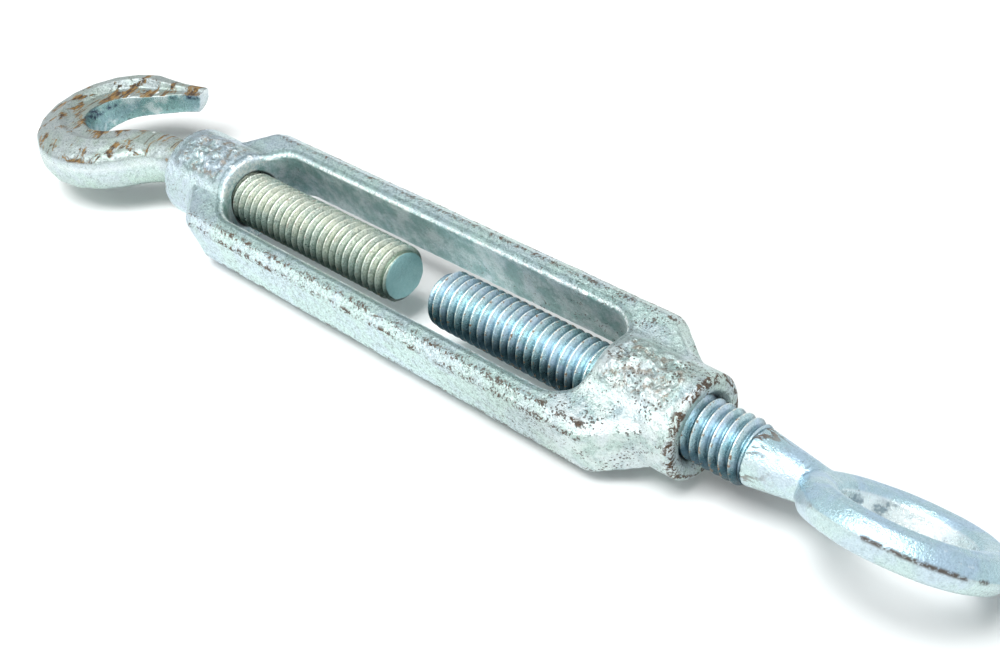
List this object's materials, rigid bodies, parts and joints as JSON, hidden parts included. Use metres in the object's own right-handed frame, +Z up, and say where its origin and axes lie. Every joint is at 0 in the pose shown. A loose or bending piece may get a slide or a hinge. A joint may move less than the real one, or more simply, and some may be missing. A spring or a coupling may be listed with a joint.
{
  "type": "hook and eye turnbuckle",
  "caption": "Open forged turnbuckle frame with a hook bolt and an eye bolt on threads of opposite hand, for tightening a rope, wire or chain.",
  "frame": {"origin": "on the table, below the middle of the outer box", "axes": "+X along the thread axis towards the eye, -X towards the hook, +Z up from the table it lies on"},
  "size_m": [0.2664, 0.045, 0.0254],
  "materials": {
    "frame_zinc": "zinc plated forging, worn, with pits and specks of rust",
    "hook_zinc": "zinc plated forging with orange rust scars on the flat of the hook",
    "eye_zinc": "bright zinc plate"
  },
  "bodies": {
    "frame": {"frame": "frame_zinc"},
    "hook": {"hook_bolt": "hook_zinc"},
    "eye": {"eye_bolt": "eye_zinc"}
  },
  "joints": [
    {"name": "hook_travel", "type": "slide", "parent": "frame", "child": "hook", "axis": [-1, 0, 0], "range_m": [-0.0055, 0.039]},
    {"name": "eye_travel", "type": "slide", "parent": "frame", "child": "eye", "axis": [1, 0, 0], "range_m": [-0.0055, 0.039]}
  ],
  "couplings": [
    {"joint": "eye_travel", "follows": "hook_travel", "ratio": 1}
  ]
}
